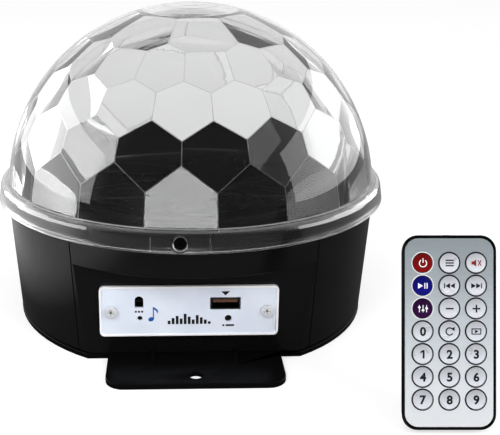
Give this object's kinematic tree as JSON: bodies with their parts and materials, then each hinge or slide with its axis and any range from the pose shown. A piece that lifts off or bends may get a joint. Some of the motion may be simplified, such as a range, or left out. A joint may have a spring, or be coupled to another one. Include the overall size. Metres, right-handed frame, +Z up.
{
  "type": "led disco ball light",
  "caption": "Tabletop disco light: clear dome, faceted inside, over a turning lens wheel, black housing with sound panel and screw ears, and a loose keypad remote.",
  "frame": {"origin": "on the dome's vertical axis, at the base plate's underside, which stands on the table", "axes": "+Z up; the front panel faces -Y; +X to the right seen from the front, where the remote stands"},
  "size_m": [0.2121, 0.2421, 0.1526],
  "materials": {
    "black_gloss": "glossy moulded ABS",
    "black_matte": "fine-textured ABS",
    "clear_plastic": "clear polished polystyrene",
    "steel": "zinc-plated steel",
    "dark_steel": "blackened steel",
    "aluminium": "extruded, untreated",
    "panel_white": "pale blue-white satin",
    "circuit_green": "solder mask",
    "board_white": "white solder mask on a metal core",
    "usb_brown": "moulded",
    "led_clear": "clear epoxy",
    "cone_black": "pressed paper",
    "face_silver": "silver lacquer",
    "key_silver": "silver lacquer, domed",
    "key_red": "red, domed",
    "key_blue": "blue, domed",
    "key_purple": "dark purple, domed"
  },
  "bodies": {
    "lamp": {"base_plate": "black_gloss", "base_screw_1": "steel", "base_screw_2": "steel", "base_screw_3": "steel", "base_screw_4": "steel", "front_fascia": "black_gloss", "rear_housing": "black_gloss", "front_panel": "panel_white", "panel_screw_left": "steel", "panel_screw_right": "steel", "control_board": "circuit_green", "usb_shell": "steel", "usb_tongue": "usb_brown", "ir_receiver": "black_gloss", "status_led": "led_clear", "power_board": "circuit_green", "speaker_frame": "black_matte", "speaker_cone": "cone_black", "power_inlet": "black_matte", "switch_body": "black_matte", "deck": "black_matte", "heat_sink": "aluminium", "lamp_board": "board_white", "lamp_lens_ring": "clear_plastic", "motor": "steel", "motor_bracket": "steel", "dome": "clear_plastic", "dome_screw_1": "dark_steel", "dome_screw_2": "dark_steel", "dome_screw_3": "dark_steel"},
    "rotor": {"rotor_shaft": "steel", "rotor_carrier": "black_matte", "lens_wheel": "clear_plastic"},
    "rocker": {"switch_rocker": "black_gloss"},
    "remote": {"remote_case": "black_matte", "remote_face": "face_silver", "remote_board": "circuit_green"},
    "tray": {"battery_tray": "black_matte", "coin_cell": "steel"},
    "key_7": {"key_7": "key_silver"},
    "key_8": {"key_8": "key_silver"},
    "key_9": {"key_9": "key_silver"},
    "key_4": {"key_4": "key_silver"},
    "key_5": {"key_5": "key_silver"},
    "key_6": {"key_6": "key_silver"},
    "key_1": {"key_1": "key_silver"},
    "key_2": {"key_2": "key_silver"},
    "key_3": {"key_3": "key_silver"},
    "key_0": {"key_0": "key_silver"},
    "key_repeat": {"key_repeat": "key_silver"},
    "key_source": {"key_source": "key_silver"},
    "key_equaliser": {"key_equaliser": "key_purple"},
    "key_volume_down": {"key_volume_down": "key_silver"},
    "key_volume_up": {"key_volume_up": "key_silver"},
    "key_play_pause": {"key_play_pause": "key_blue"},
    "key_previous": {"key_previous": "key_silver"},
    "key_next": {"key_next": "key_silver"},
    "key_power": {"key_power": "key_red"},
    "key_mode": {"key_mode": "key_silver"},
    "key_mute": {"key_mute": "key_silver"}
  },
  "joints": [
    {"name": "rotor_spin", "type": "hinge", "parent": "lamp", "child": "rotor", "pos_m": [0, 0, 0.0634], "axis": [0, 0, 1], "continuous": true},
    {"name": "switch_rock", "type": "hinge", "parent": "lamp", "child": "rocker", "pos_m": [-0.036, 0.0724, 0.02105], "axis": [-1, 0, 0], "range_deg": [0, 16]},
    {"name": "remote_lift", "type": "slide", "parent": "lamp", "child": "remote", "axis": [0, 0, 1], "range_m": [0, 0.06]},
    {"name": "tray_slide", "type": "slide", "parent": "remote", "child": "tray", "axis": [-0.007, -0.2879, -0.9576], "range_m": [0, 0.024]},
    {"name": "key_7_press", "type": "slide", "parent": "remote", "child": "key_7", "axis": [0.0234, 0.9573, -0.288], "range_m": [0, 0.00035], "stiffness_N_per_m": 500},
    {"name": "key_8_press", "type": "slide", "parent": "remote", "child": "key_8", "axis": [0.0234, 0.9573, -0.288], "range_m": [0, 0.00035], "stiffness_N_per_m": 500},
    {"name": "key_9_press", "type": "slide", "parent": "remote", "child": "key_9", "axis": [0.0234, 0.9573, -0.288], "range_m": [0, 0.00035], "stiffness_N_per_m": 500},
    {"name": "key_4_press", "type": "slide", "parent": "remote", "child": "key_4", "axis": [0.0234, 0.9573, -0.288], "range_m": [0, 0.00035], "stiffness_N_per_m": 500},
    {"name": "key_5_press", "type": "slide", "parent": "remote", "child": "key_5", "axis": [0.0234, 0.9573, -0.288], "range_m": [0, 0.00035], "stiffness_N_per_m": 500},
    {"name": "key_6_press", "type": "slide", "parent": "remote", "child": "key_6", "axis": [0.0234, 0.9573, -0.288], "range_m": [0, 0.00035], "stiffness_N_per_m": 500},
    {"name": "key_1_press", "type": "slide", "parent": "remote", "child": "key_1", "axis": [0.0234, 0.9573, -0.288], "range_m": [0, 0.00035], "stiffness_N_per_m": 500},
    {"name": "key_2_press", "type": "slide", "parent": "remote", "child": "key_2", "axis": [0.0234, 0.9573, -0.288], "range_m": [0, 0.00035], "stiffness_N_per_m": 500},
    {"name": "key_3_press", "type": "slide", "parent": "remote", "child": "key_3", "axis": [0.0234, 0.9573, -0.288], "range_m": [0, 0.00035], "stiffness_N_per_m": 500},
    {"name": "key_0_press", "type": "slide", "parent": "remote", "child": "key_0", "axis": [0.0234, 0.9573, -0.288], "range_m": [0, 0.00035], "stiffness_N_per_m": 500},
    {"name": "key_repeat_press", "type": "slide", "parent": "remote", "child": "key_repeat", "axis": [0.0234, 0.9573, -0.288], "range_m": [0, 0.00035], "stiffness_N_per_m": 500},
    {"name": "key_source_press", "type": "slide", "parent": "remote", "child": "key_source", "axis": [0.0234, 0.9573, -0.288], "range_m": [0, 0.00035], "stiffness_N_per_m": 500},
    {"name": "key_equaliser_press", "type": "slide", "parent": "remote", "child": "key_equaliser", "axis": [0.0234, 0.9573, -0.288], "range_m": [0, 0.00035], "stiffness_N_per_m": 500},
    {"name": "key_volume_down_press", "type": "slide", "parent": "remote", "child": "key_volume_down", "axis": [0.0234, 0.9573, -0.288], "range_m": [0, 0.00035], "stiffness_N_per_m": 500},
    {"name": "key_volume_up_press", "type": "slide", "parent": "remote", "child": "key_volume_up", "axis": [0.0234, 0.9573, -0.288], "range_m": [0, 0.00035], "stiffness_N_per_m": 500},
    {"name": "key_play_pause_press", "type": "slide", "parent": "remote", "child": "key_play_pause", "axis": [0.0234, 0.9573, -0.288], "range_m": [0, 0.00035], "stiffness_N_per_m": 500},
    {"name": "key_previous_press", "type": "slide", "parent": "remote", "child": "key_previous", "axis": [0.0234, 0.9573, -0.288], "range_m": [0, 0.00035], "stiffness_N_per_m": 500},
    {"name": "key_next_press", "type": "slide", "parent": "remote", "child": "key_next", "axis": [0.0234, 0.9573, -0.288], "range_m": [0, 0.00035], "stiffness_N_per_m": 500},
    {"name": "key_power_press", "type": "slide", "parent": "remote", "child": "key_power", "axis": [0.0234, 0.9573, -0.288], "range_m": [0, 0.00035], "stiffness_N_per_m": 500},
    {"name": "key_mode_press", "type": "slide", "parent": "remote", "child": "key_mode", "axis": [0.0234, 0.9573, -0.288], "range_m": [0, 0.00035], "stiffness_N_per_m": 500},
    {"name": "key_mute_press", "type": "slide", "parent": "remote", "child": "key_mute", "axis": [0.0234, 0.9573, -0.288], "range_m": [0, 0.00035], "stiffness_N_per_m": 500}
  ]
}
